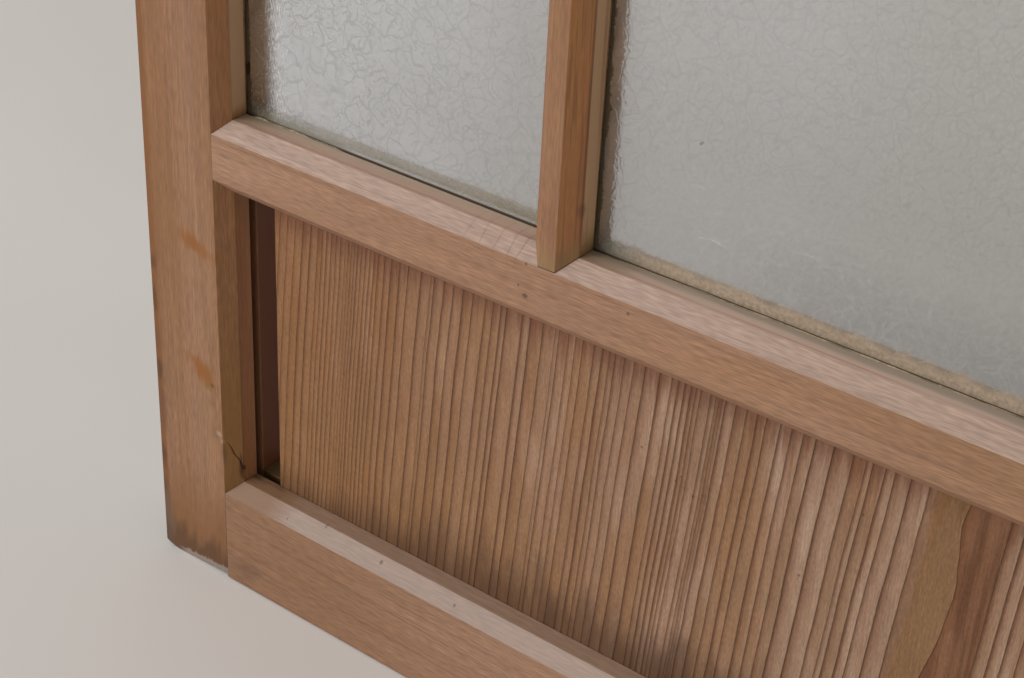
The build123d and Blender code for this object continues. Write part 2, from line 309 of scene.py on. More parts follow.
def upright_cedar():
    """Stiles and muntins: cedar with its grain upright, tan at the outer edge and stained at the foot."""
    wood = WashedCedar("washed_cedar_upright", False, "#825a3b", "#8b644c")
    tree = wood.tree
    front = FRONT / MM
    aside = add(tree, "Math", {0: wood.facing_x}, operation="ABSOLUTE")
    # What slants or faces aside, what faces straight aside, and what faces the front
    slanting, sideways, forward = (aside, 0.3, 0.6), (aside, 0.8, 0.95), (aside, 0.3, 0.1)
    # Paler low down, where it was washed most, and a saturated tan on the chamfers near the opening:
    # painted warm bounce light
    off_edge = (wood.x, STILE_OUTER + 4 * MM, STILE_OUTER + 9 * MM)
    wood.lay("#987559", 0.3, (wood.z, 260 * MM, 100 * MM), off_edge)
    wood.lay("#87562a", 0.4, slanting, (wood.half, HALF_OPENING + 30 * MM, HALF_OPENING + 10 * MM))
    wood.weather()
    stain_stile_face(wood, front)
    stain_foot(wood)

    # Behind the kick board's gap the wood is painted dark: painted shade for that narrow recess
    at_opening = (wood.half, HALF_OPENING + 16 * MM, HALF_OPENING + 12 * MM)
    below_rail = (wood.z, MID_LOW + 3 * MM, MID_LOW)
    in_groove = (wood.y, GROOVE_FRONT + 3 * MM, GROOVE_FRONT + 4.5 * MM)
    inside_back = (wood.y, FRONT + 29 * MM, FRONT + 27.5 * MM)
    wood.lay("#5a2a0c", 0.92, in_groove, inside_back, below_rail, at_opening)
    # Beside the glass the chamfers are a warmer tan and the flats paler still: painted bounce light off the
    # floor and the glass
    paled = (wood.z, MID_HIGH - 1 * MM, MID_HIGH + 6 * MM)
    by_stile = (wood.half, HALF_OPENING - 20 * MM, HALF_OPENING - 10 * MM)
    by_muntin = (wood.half, HALF_OPENING - 10 * MM, HALF_OPENING - 20 * MM)
    in_chamfer = (wood.y, FRONT + 6 * MM, FRONT + 5 * MM)
    on_flat = (wood.y, FLAT_START - 0.4 * MM, FLAT_START + 1 * MM)
    wood.lay("#b88f62", 0.1, forward, (wood.z, MID_HIGH + 8 * MM, MID_HIGH + 30 * MM), by_muntin)
    wood.lay("#bc8048", 0.4, (wood.facing_x, 0.3, 0.6), paled, in_chamfer, by_muntin)
    wood.lay("#9c6c44", 0.25, slanting, paled, in_chamfer, by_stile, at_opening)
    wood.lay("#c19e7a", 0.72, sideways, paled, on_flat, by_stile, at_opening)
    wood.lay("#c8a27b", 0.85, sideways, paled, on_flat, by_muntin)
    # and behind the glass the flats are pale, with darker patches up them: painted light and painted shade
    # for how they are lit through the glass
    patch = threads(tree, wood.place, False, 6, 26, Detail=2.0)
    hidden = (wood.y, GLASS_FRONT + 1.5 * MM, GLASS_FRONT + 2.5 * MM)
    wood.lay("#c29c76", 0.85, sideways, paled, hidden, at_opening)
    wood.lay("#6f5338", 0.5, sideways, paled, hidden, at_opening, (patch, 0.48, 0.62))
    # Below the mid rail the flats are reddish up to the groove
    reddish = ((wood.y, FLAT_START, FLAT_START + 1 * MM), (wood.y, GROOVE_FRONT + 1 * MM, GROOVE_FRONT))
    wood.lay("#9a6440", 0.4, *reddish, below_rail, at_opening)

    # Reddish streaks down the muntins' chamfers, with a knot and a dark seam
    on_muntin = (wood.half, HALF_OPENING - 20 * MM, HALF_OPENING - 25 * MM)
    wood.lay(WOOD_RED, 0.5, on_muntin, (wood.streak, 0.46, 0.6))
    vein = threads(tree, wood.place, False, 0.9, 30, Detail=2.0)
    wood.lay(WOOD_FIBRE_AND_SHADE, 0.45, on_muntin, slanting, in_chamfer, (vein, 0.52, 0.64))
    wood.mark((MUNTIN_HIGH / MM - 0.4, front + 6.0, 219.5), (1.4, 1.6, 2.2), "#5f3c30", 0.5, 0.6)
    seam = apart(tree, wood.y, FLAT_START)
    wood.lay("#55361f", 0.45, slanting, on_muntin, (seam, 0.6 * MM, 0.15 * MM))
    # A dark line where each muntin is coped over the rails, and dirt washed down round its foot
    low_shoulder = wood.shoulder(MID_HIGH - CHAMFER_FACE, 1)
    above = add(tree, "Math", {0: wood.z, 1: low_shoulder}, operation="SUBTRACT")
    high_shoulder = wood.shoulder(TOP_LOW + CHAMFER_FACE, -1)
    below = add(tree, "Math", {0: high_shoulder, 1: wood.z}, operation="SUBTRACT")
    clear = add(tree, "Math", {0: above, 1: below}, operation="MINIMUM")
    wood.lay("#8a7048", 0.6, on_muntin, (above, 12 * MM, 1 * MM))
    wood.lay(JOINT_LINE, 0.85, on_muntin, (clear, 0.55 * MM, 0.2 * MM))
    return wood.finish()


def stain_stile_face(wood, front):
    """The left stile's front: a tan outer edge, wandering tones, bruises, smears and knocks."""
    tree = wood.tree
    # Tan along the outer edge, darker where it was knocked, and olive along the chamfer low down
    edge_wander = add(tree, "Math", {0: wood.ragged, 1: 1.5 * MM, 2: wood.x}, operation="MULTIPLY_ADD")
    wood.lay("#74461d", 0.85, (edge_wander, STILE_OUTER + 5 * MM, STILE_OUTER + 2.6 * MM))
    for level, tall in ((134, 3), (119, 5), (86, 4), (46, 6), (30, 4)):
        wood.mark((-378.2, front, level), (1.5, 5, tall), "#472b17", 0.8, 0.6)
    past_arris = (wood.x, STILE_INNER - 5.6 * MM, STILE_INNER - 4.6 * MM)
    near_face = (wood.y, FRONT + 8 * MM, FRONT + 5 * MM)
    wood.lay("#7f5a26", 0.6, (wood.z, 150 * MM, 70 * MM), past_arris, near_face)
    # A browner outer third and a paler streak down the middle, both wandering
    drift = threads(tree, wood.place, False, 12, 130, Detail=2.0)
    drift = add(tree, "Math", {0: drift, 1: 16 * MM, 2: wood.x}, operation="MULTIPLY_ADD")
    third = STILE_OUTER + 26 * MM
    wood.lay("#80552b", 0.36, (drift, third, third - 8 * MM), (wood.z, 60 * MM, 160 * MM))
    middle = ((drift, third, third + 7 * MM), (drift, third + 18 * MM, third + 11 * MM))
    wood.lay("#a1806a", 0.12, *middle)
    on_stile = (wood.half, HALF_OPENING, HALF_OPENING + 1 * MM)
    wood.lay("#74502f", 0.3, (wood.streak, 0.54, 0.66), on_stile)
    # Two tan bruises with fainter smears beside them, and nicks under the upper one
    for centre, size, over, strength, soft, turn in (
        ((-357.2, 150.8), (5.0, 3.2), WOOD_STAIN, 0.85, 0.6, 12),
        ((-350.5, 148.3), (6.5, 2.4), WOOD_STAIN, 0.65, 0.7, 14),
        ((-357.5, 98.4), (5.5, 2.2), WOOD_STAIN, 0.5, 0.6, 18),
        ((-352.6, 94.2), (6.2, 4.2), WOOD_STAIN, 0.95, 0.6, 38),
        ((-350.4, 89.6), (2.4, 2.0), "#7d5a2c", 0.6, 0.6, 0),
        ((-348.3, 90.5), (1.0, 0.8), WOOD_GRIME_AND_SHADE, 0.6, 0.4, 40),
        ((-352.6, 144.4), (0.3, 1.2), WOOD_STAIN, 0.35, 0.5, -25),
        ((-351.1, 142.8), (0.3, 1.2), WOOD_STAIN, 0.35, 0.5, -25),
        ((-349.6, 144.4), (0.3, 1.2), WOOD_STAIN, 0.35, 0.5, -25),
        ((-348.1, 142.8), (0.3, 1.2), WOOD_STAIN, 0.35, 0.5, -25),
    ):
        wood.mark_face(centre, size, over, strength, soft, turn)
    # The split in the chamfer: bruised and frayed at its head, dirty at its tail
    wood.mark_face((-348.0, 68.5), (2.2, 2.6), "#75593f", 0.5, 0.6)
    wood.mark_face((-345.6, 69.4), (1.4, 1.0), "#b89c84", 0.45, 0.6, 20)
    wood.mark((-344.2, front + 1, 66.6), (0.8, 20, 1.0), "#a88a70", 0.5, 0.5)
    wood.mark_face((-343.9, 61.0), (0.7, 4.5), WOOD_GRIME_AND_SHADE, 0.35, 0.6)
    wood.mark((STILE_INNER / MM - 0.6, front + 5.0, 55.0), (0.5, 1.6, 5.0), WOOD_GRIME_AND_SHADE, 0.7, 0.5)
    # Knocks along the outer edge
    wood.mark((-378.9, front, 100.0), (1.6, 6, 5.0), WOOD_FIBRE_AND_SHADE, 0.7, 0.6)
    wood.mark((-377.6, front, 68.0), (2.4, 8, 11.0), WOOD_FIBRE_AND_SHADE, 0.7, 0.7)


def stain_foot(wood):
    """The stiles' feet: old tan towards the floor, damp drawn up the grain, and a scraped pale bevel."""
    tree = wood.tree
    wood.lay("#72481c", 0.7, (wood.z, 56 * MM, 10 * MM))
    drawn_up = threads(tree, wood.place, False, 5, 22, Detail=3.0)
    climb = add(tree, "Math", {0: drawn_up, 1: -34 * MM, 2: wood.z}, operation="MULTIPLY_ADD")
    wood.lay("#4f3420", 0.75, (climb, 2 * MM, -9 * MM))
    wood.mark_face((-377.5, 16.0), (3.0, 14.0), "#5d5046", 0.55, 0.7)
    sloped = add(tree, "Math", {0: wood.half, 1: FOOT_SLOPE, 2: wood.z}, operation="MULTIPLY_ADD")
    above_foot = add(tree, "Math", {0: sloped, 1: FOOT_SLOPE * FOOT_TOE}, operation="SUBTRACT")
    wander = add(tree, "Math", {0: wood.ragged, 1: 2.2 * MM, 2: above_foot}, operation="MULTIPLY_ADD")
    inward = (wood.half, HALF_OPENING + 35 * MM, HALF_OPENING + 28 * MM)
    wood.lay(WOOD_SCRAPED, 0.65, (wander, 3.9 * MM, 2.6 * MM), inward)


def level_cedar():
    """Rails: cedar with its grain level, pinker, with dirt beside the glass and the board."""
    wood = WashedCedar("washed_cedar_level", True, "#946f56", "#9c7961")
    tree = wood.tree
    on_bottom_rail = (wood.z, 90 * MM, 60 * MM)
    facing_up = (wood.facing_z, 0.25, 0.6)
    # Growth lines along the face, drawn 1.2 mm apart so that they show
    growth = threads(tree, wood.place, True, 1.2, 140, Detail=1.0)
    wood.lay(WOOD_FIBRE_AND_SHADE, 0.16, (growth, 0.58, 0.7))
    # and three long ones lower on the bottom rail, slanting a little
    on_lower_face = (wood.z, MID_LOW, BOTTOM_TOP)
    for drop, lean in ((12.0, 0.021), (17.5, 0.028), (30.0, 0.024)):
        level = add(tree, "Math", {0: wood.x, 1: lean, 2: wood.z}, operation="MULTIPLY_ADD")
        off = apart(tree, level, BOTTOM_TOP - drop * MM + lean * STILE_INNER)
        wood.lay("#5e3a26", 0.3, (off, 0.8 * MM, 0.2 * MM), on_lower_face, (wood.streak, 0.35, 0.5))
    # A little browner to the right, and browner towards the floor
    wood.lay("#83603f", 0.3, (wood.x, -180 * MM, 60 * MM), (wood.z, 90 * MM, 120 * MM))
    wood.lay("#744f30", 0.5, on_bottom_rail, (wood.x, -90 * MM, -300 * MM))
    wood.lay("#a5836c", 0.3, on_bottom_rail, (wood.x, -300 * MM, -200 * MM))
    wood.weather()
    # The bottom rail's chamfer, pale grey with dust and painted sheen, the browner flat behind it, and a
    # corner by the left stile where the broom didn't reach
    wood.lay("#97867c", 0.5, on_bottom_rail, facing_up, (wood.facing_z, 0.95, 0.85))
    wood.lay("#8a6a4e", 0.5, on_bottom_rail, (wood.facing_z, 0.9, 0.98))
    corner = add(tree, "Math", {0: wood.ragged, 1: 3 * MM, 2: wood.x}, operation="MULTIPLY_ADD")
    by_stile = (corner, STILE_INNER + 32 * MM, STILE_INNER + 14 * MM)
    wood.lay("#7c5a3c", 0.8, on_bottom_rail, facing_up, by_stile)
    dust_mid_rail(wood)
    # Olive dirt behind the board's left edge
    wood.mark((STILE_INNER / MM, 6.0, BOTTOM_TOP / MM), (18, 9, 4), "#483412", 1.0, 0.4)
    # Specks and small chips, and a brown bruise low on the bottom rail's left end
    on_face = ((-203.1, 197.1, 0.5), (-202.9, 185.6, 0.7), (-205.8, 188.5, 0.4), (-163.5, 194.2, 0.5))
    for x, z, size in on_face:
        wood.mark_face((x, z), (size, size), WOOD_GRIME_AND_SHADE, 0.6, 0.5)
    on_chamfer = ((-294.5, 47.0, 0.5), (-265.2, 45.5, 0.7), (-229.0, 44.5, 0.5), (-312.0, 44.0, 0.4))
    for x, z, size in on_chamfer:
        wood.mark((x, -12.0, z), (size, 3, size), WOOD_GRIME_AND_SHADE, 0.6, 0.5)
    wood.mark_face((-334.0, 8.0), (9.0, 5.0), "#5d4432", 0.4, 0.9, -20)
    # A dark line at each shoulder, which runs down the chamfers as a mitre
    shoulder = wood.shoulder(HALF_OPENING + CHAMFER_FACE, -1)
    clear = add(tree, "Math", {0: shoulder, 1: wood.half}, operation="SUBTRACT")
    wood.lay(JOINT_LINE, 0.7, (clear, 0.45 * MM, 0.15 * MM))
    return wood.finish()


def dust_mid_rail(wood):
    """The mid rail's flat: grey-green dust, thickest along the glass and at each pane's left end, and
    painted light behind the glass.
    """
    tree = wood.tree
    on_flat = (wood.facing_z, 0.92, 0.98)
    upper = (wood.z, MID_LOW, MID_HIGH - 2 * MM)
    in_front = (wood.y, GROOVE_FRONT + 3 * MM, GROOVE_FRONT)
    wiped = threads(tree, wood.place, True, 4, 55, Detail=3.0)
    spread = add(tree, "Math", {0: wiped, 1: 7 * MM, 2: wood.y}, operation="MULTIPLY_ADD")
    open_flat = (on_flat, upper, in_front)
    wood.lay("#b2937e", 0.65, *open_flat, (wood.y, FLAT_START - 1 * MM, FLAT_START + 3 * MM))
    wood.lay("#bda596", 0.65, *open_flat, (wood.x, -190 * MM, -150 * MM))
    wood.lay(GREEN_DUST, 0.3, *open_flat, (spread, FLAT_START + 6 * MM, FLAT_START + 10 * MM))
    along_glass = (spread, FLAT_START + 7 * MM, FLAT_START + 9 * MM)
    wood.lay("#80766a", 0.6, *open_flat, along_glass, (wood.x, MUNTIN_LOW, MUNTIN_HIGH))
    # The flat behind the glass is paler and yellower: painted light, for the light it gets from behind
    wood.lay("#b39a6c", 0.8, on_flat, upper, (wood.y, GROOVE_FRONT + 1 * MM, GROOVE_FRONT + 3 * MM))
    for corner, strength in ((STILE_INNER, 0.5), (MUNTIN_HIGH, 0.4)):
        wood.mark((corner / MM, -4.0, MID_HIGH / MM), (16, 6, 4), DIRT_OLIVE, strength, 0.8)
    # A red growth line along the flat, and cracks over the chamfer beside the muntin's foot
    line = apart(tree, wood.y, FLAT_START + 1.2 * MM)
    wood.lay("#a4694c", 0.5, upper, (line, 0.6 * MM, 0.2 * MM), (wiped, 0.4, 0.55))
    for x, lean, strength in (
        (-228.5, 10, 0.2),
        (-222.5, -4, 0.3),
        (-216.5, 3, 0.3),
        (-211.0, -3, 0.35),
        (-207.0, 9, 0.4),
    ):
        crack = (x, -11.5, MID_HIGH / MM - 3)
        wood.mark(crack, (0.3, 9, 4.4), "#75503f", strength, 0.9, lean)


def split_hardwood():
    """Wedges: split from harder, browner wood, with coarse fibres across their heads."""
    material, tree, place = new_material("split_hardwood")
    fibre = threads(tree, place, True, 0.8, 13, Detail=4.0)
    colour = lay(tree, "#7a5436", "#5c3c26", 1.0, (fibre, 0.35, 0.7))
    dull_surface(tree, colour, fibre, (0.45, 0.6), (0.4, 0.15), HARD_SPECULAR)
    return material


def flake_figure(tree, sheet):
    """The figure rolled into the glass: its outlines, its height, and the noises that break it up."""
    broken = {"Vector": sheet, "Scale": 1 / (8 * MM), "Detail": 1.0}
    broken = add(tree, "TexNoise", broken, noise_dimensions="2D")
    # The outlines curl a few millimetres out of place
    curl = {0: broken.node.outputs["Color"], 1: (0.5, 0.5, 0.5)}
    curl = add(tree, "VectorMath", curl, operation="SUBTRACT")
    curl = add(tree, "VectorMath", {0: curl, "Scale": 7 * MM}, operation="SCALE")
    curled = add(tree, "VectorMath", {0: sheet, 1: curl}, operation="ADD")
    # Flakes 10 mm across, others 6 mm across broken off here and there, and lobes and curls in them
    to_edge = {"feature": "DISTANCE_TO_EDGE", "voronoi_dimensions": "2D"}
    cells = add(tree, "TexVoronoi", {"Vector": curled, "Scale": 1 / (10 * MM)}, **to_edge)
    small = add(tree, "TexVoronoi", {"Vector": curled, "Scale": 1 / (6 * MM)}, **to_edge)
    lobes = {"Vector": curled, "Scale": 1 / (8 * MM)}
    lobes = add(tree, "TexVoronoi", lobes, out="Distance", voronoi_dimensions="2D")
    lobes = apart(tree, lobes, 0.4)
    curls = {"Vector": sheet, "Scale": 1 / (6.5 * MM), "Detail": 1.0}
    curls = add(tree, "TexNoise", curls, noise_dimensions="2D")
    curls = add(tree, "Math", {0: curls, 1: 0.07}, operation="PINGPONG")
    # Each outline shows only where the pattern that breaks it up has run from its first to its last
    edges = None
    for line, reach, first, last in (
        (cells, 0.05, 0.36, 0.44),
        (small, 0.06, 0.58, 0.5),
        (lobes, 0.05, 0.42, 0.52),
        (curls, 0.016, 0.5, 0.4),
    ):
        outline = where(tree, (line, reach, 0.2 * reach), (broken, first, last))
        edges = outline if edges is None else add(tree, "Math", {0: edges, 1: outline}, operation="MAXIMUM")
    ripple = {"Vector": sheet, "Scale": 1 / (1.3 * MM), "Detail": 2.0}
    ripple = add(tree, "TexNoise", ripple, noise_dimensions="2D")
    cut = where(tree, (cells, 0.05, 0.01))
    height = add(tree, "Math", {0: cut, 1: 0.25, 2: ripple}, operation="MULTIPLY_ADD")
    return edges, height, broken, ripple


def caught_light(tree, place, sheet, beside):
    """How strongly the glass shows painted glints: slanting ones, pale curved ones low on the centre pane,
    and a line along its foot.
    """
    x, _, z = add(tree, "SeparateXYZ", {0: place}).node.outputs
    # Slanting glints where the figure bends the light beside the left stile
    slanted = {"Vector": sheet, "Rotation": (0.0, 0.0, math.radians(58)), "Scale": (1.0, 0.3, 1.0)}
    slanted = {"Vector": add(tree, "Mapping", slanted), "Scale": 1 / (0.6 * MM), "Detail": 1.0}
    slanted = add(tree, "TexNoise", slanted, noise_dimensions="2D")
    by_left_stile = ((beside, 10 * MM, 13 * MM), (beside, 24 * MM, 14 * MM), (x, -280 * MM, -300 * MM))
    glint = where(tree, (slanted, 0.54, 0.68), *by_left_stile)
    glint = add(tree, "Math", {0: glint, 1: 0.28}, operation="MULTIPLY")
    # Painted glints low on the centre pane, each the crown of an oval
    for centre, size, turn in (
        ((-167.8, -1.1, 212.4), (6.0, 9, 4.0), 12),
        ((-147.0, -1.1, 216.0), (7.5, 9, 4.5), -14),
        ((-151.5, -1.1, 233.5), (5.0, 9, 3.0), 0),
        ((-112.2, -1.1, 223.4), (6.0, 9, 4.0), 4),
    ):
        ring = apart(tree, spot(tree, place, centre, size, turn), 1.0)
        crown = (z, (centre[2] + 0.6 * size[2]) * MM, (centre[2] + 0.95 * size[2]) * MM)
        arc_glint = where(tree, (ring, 0.06, 0.01), crown)
        arc_glint = add(tree, "Math", {0: arc_glint, 1: 0.12}, operation="MULTIPLY")
        glint = add(tree, "Math", {0: glint, 1: arc_glint}, operation="MAXIMUM")
    # A thin painted glint along the left pane's foot
    along_foot = ((z, MID_HIGH + 0.9 * MM, MID_HIGH + 0.6 * MM), (z, MID_HIGH, MID_HIGH + 0.2 * MM))
    caught = where(tree, *along_foot, (x, -304 * MM, -285 * MM), (x, MUNTIN_HIGH, MUNTIN_LOW))
    caught = add(tree, "Math", {0: caught, 1: 0.22}, operation="MULTIPLY")
    return add(tree, "Math", {0: glint, 1: caught}, operation="MAXIMUM")


def flake_glass():
    """Figured sheet glass, its front rolled with curling flakes 10 mm across, and hazy with fine dust, with
    painted light and shade in its tint, haze, lines and glints.
    """
    material, tree, place = new_material("flake_figured_glass")
    x, y, z = add(tree, "SeparateXYZ", {0: place}).node.outputs
    sheet = add(tree, "CombineXYZ", {0: x, 1: z})
    edges, height, broken, ripple = flake_figure(tree, sheet)
    on_front = (y, GLASS_FRONT + 0.6 * MM, GLASS_FRONT + 0.1 * MM)
    rolled = where(tree, on_front)
    # How far a point is from the nearest upright
    half = add(tree, "Math", {0: x}, operation="ABSOLUTE")
    away = apart(tree, half, HALF_OPENING)
    for upright in (-MUNTIN_LOW, -MUNTIN_HIGH):
        away = add(tree, "Math", {0: away, 1: apart(tree, half, upright)}, operation="MINIMUM")
    # The figure bends light most beside the uprights, and is worn soft elsewhere
    sharp = {"Value": away, "From Min": 8 * MM, "From Max": 26 * MM, "To Min": 0.8, "To Max": 0.12}
    sharp = add(tree, "Math", {0: add(tree, "MapRange", sharp), 1: rolled}, operation="MULTIPLY")
    bumped = add(tree, "Bump", {"Strength": sharp, "Distance": 0.3 * MM, "Height": height})
    # A tint of dust, darker towards the foot, towards the left pane's right end and low on the centre pane,
    # with painted shade there for the shading behind the glass
    colour = lay(tree, "#ececee", "#c9c9c8", 1.0, (z, 360 * MM, 200 * MM))
    left_pane_end = ((x, -250 * MM, -215 * MM), (x, MUNTIN_HIGH, MUNTIN_LOW))
    colour = lay(tree, colour, "#bcbbb9", 0.35, *left_pane_end)
    colour = lay(tree, colour, "#c2c3b8", 0.4, (x, -130 * MM, -75 * MM))
    low_centre = ((z, MID_HIGH + 36 * MM, MID_HIGH + 8 * MM), (x, -175 * MM, -90 * MM))
    colour = lay(tree, colour, "#a4a4a3", 0.5, *low_centre)
    colour = grained(tree, colour, (ripple, 0.06))
    inputs = {
        "Base Color": colour,
        "Roughness": add(tree, "MapRange", {"Value": edges, "To Min": 0.09, "To Max": 0.16}),
        "Normal": bumped,
        "IOR": 1.5,
        "Transmission Weight": 1.0,
    }
    glass = add(tree, "BsdfPrincipled", inputs)
    # A pale haze in clouds: dust, with painted light where it thickens towards the left, but not beside the
    # stile
    cloud = {"Vector": sheet, "Scale": 1 / (30 * MM), "Detail": 2.0}
    cloud = add(tree, "TexNoise", cloud, noise_dimensions="2D")
    cloud = add(tree, "MapRange", {"Value": cloud, **NOISE_RANGE, "To Min": 0.9, "To Max": 1.1})
    haze_and_light = {"Value": x, "From Min": STILE_INNER, "From Max": -190 * MM, "To Min": 0.35, "To Max": 0.08}
    haze_and_light = add(tree, "Math", {0: add(tree, "MapRange", haze_and_light), 1: cloud}, operation="MULTIPLY")
    clean = where(tree, (x, STILE_INNER + 7 * MM, STILE_INNER + 16 * MM))
    haze_and_light = add(tree, "Math", {0: haze_and_light, 1: clean}, operation="MULTIPLY")
    dust = {"Base Color": "#cfd0d3", "Roughness": 0.5, "Normal": bumped}
    glass = add(tree, "MixShader", {0: haze_and_light, 1: glass, 2: add(tree, "BsdfPrincipled", dust)})
    # Painted shade along the figure's outlines where it bends the light: grey lines, fainter to the right,
    # and pale painted highlights low on the centre pane
    paler = ((z, MID_HIGH + 50 * MM, MID_HIGH + 20 * MM), (x, -185 * MM, -140 * MM))
    line_colour = lay(tree, "#73726f", "#d0d0cd", 1.0, *paler)
    drawn = {"Value": x, "From Min": STILE_INNER + 25 * MM, "From Max": -212 * MM}
    drawn.update({"To Min": 0.3, "To Max": 0.12})
    drawn = add(tree, "Math", {0: add(tree, "MapRange", drawn), 1: edges}, operation="MULTIPLY")
    faded = {"Value": x, "From Min": -175 * MM, "From Max": -110 * MM, "To Min": 1.0, "To Max": 0.8}
    drawn = add(tree, "Math", {0: drawn, 1: add(tree, "MapRange", faded)}, operation="MULTIPLY")
    glass = film(tree, glass, line_colour, drawn, rolled)
    beside = add(tree, "Math", {0: ripple, 1: 3 * MM, 2: away}, operation="MULTIPLY_ADD")
    # Painted glints, laid as a pale dull colour
    glass = film(tree, glass, "#f2f2f0", caught_light(tree, place, sheet, beside))
    # A speck of dirt on the centre pane
    speck = where(tree, (spot(tree, place, (-152.4, -1.1, 250.2), (0.4, 9, 0.4)), 1.5, 0.5))
    glass = film(tree, glass, "#6a5a50", speck, 0.7)
    # Dirt that washing has left on the pane: brown up its sides, and grey-green or olive along its foot
    gritty = add(tree, "Math", {0: broken, 1: 4 * MM, 2: -3.2 * MM}, operation="MULTIPLY_ADD")
    gritty = add(tree, "Math", {0: ripple, 1: 2.4 * MM, 2: gritty}, operation="MULTIPLY_ADD")
    side_reach = add(tree, "Math", {0: away, 1: gritty}, operation="ADD")
    foot_reach = add(tree, "Math", {0: z, 1: gritty}, operation="ADD")
    # but not low over the dark gap at the left pane's right end
    above_gap = where(tree, (x, -285 * MM, -302 * MM))
    for clear_of_gap in ((x, MUNTIN_LOW, MUNTIN_HIGH), (z, MID_HIGH + 1.0 * MM, MID_HIGH + 1.4 * MM)):
        above_gap = add(tree, "Math", {0: above_gap, 1: where(tree, clear_of_gap)}, operation="MAXIMUM")
    # Thickest on the centre pane, whose foot is tan for 5 mm up
    settled = lay(tree, "#86847a", "#b29d88", 1.0, (x, MUNTIN_HIGH, MUNTIN_HIGH + 30 * MM))
    settled = grained(tree, settled, (ripple, 0.2))
    past_muntin = {"Value": x, "From Min": MUNTIN_LOW, "From Max": MUNTIN_HIGH}
    thick = add(tree, "MapRange", {**past_muntin, "To Min": 0.3, "To Max": 0.6})
    thin = add(tree, "MapRange", {**past_muntin, "To Min": 0.35, "To Max": 0.15})
    for dirt, reach, strength in (
        (settled, (foot_reach, MID_HIGH + 6.5 * MM, MID_HIGH + 3 * MM), thick),
        ("#63543e", (side_reach, 1.5 * MM, 0.6 * MM), 0.8),
        ("#7d7760", (foot_reach, MID_HIGH + 2.4 * MM, MID_HIGH + 1.4 * MM), thin),
    ):
        left_on = add(tree, "Math", {0: where(tree, reach, on_front), 1: above_gap}, operation="MULTIPLY")
        glass = film(tree, glass, dirt, left_on, strength)
    # Painted shade on the glass below the rail's rim, for the shade down in the groove
    sunk = where(tree, (z, MID_HIGH + 0.1 * MM, MID_HIGH - 0.1 * MM), on_front)
    glass = film(tree, glass, "#5c4a38", sunk, 0.9)
    # Light goes straight through to what stands behind
    shadow = add(tree, "LightPath", out="Is Shadow Ray")
    clear = add(tree, "BsdfTransparent", {"Color": "#e6e8e5"})
    add(tree, "OutputMaterial", {"Surface": add(tree, "MixShader", {0: shadow, 1: glass, 2: clear})})
    return material


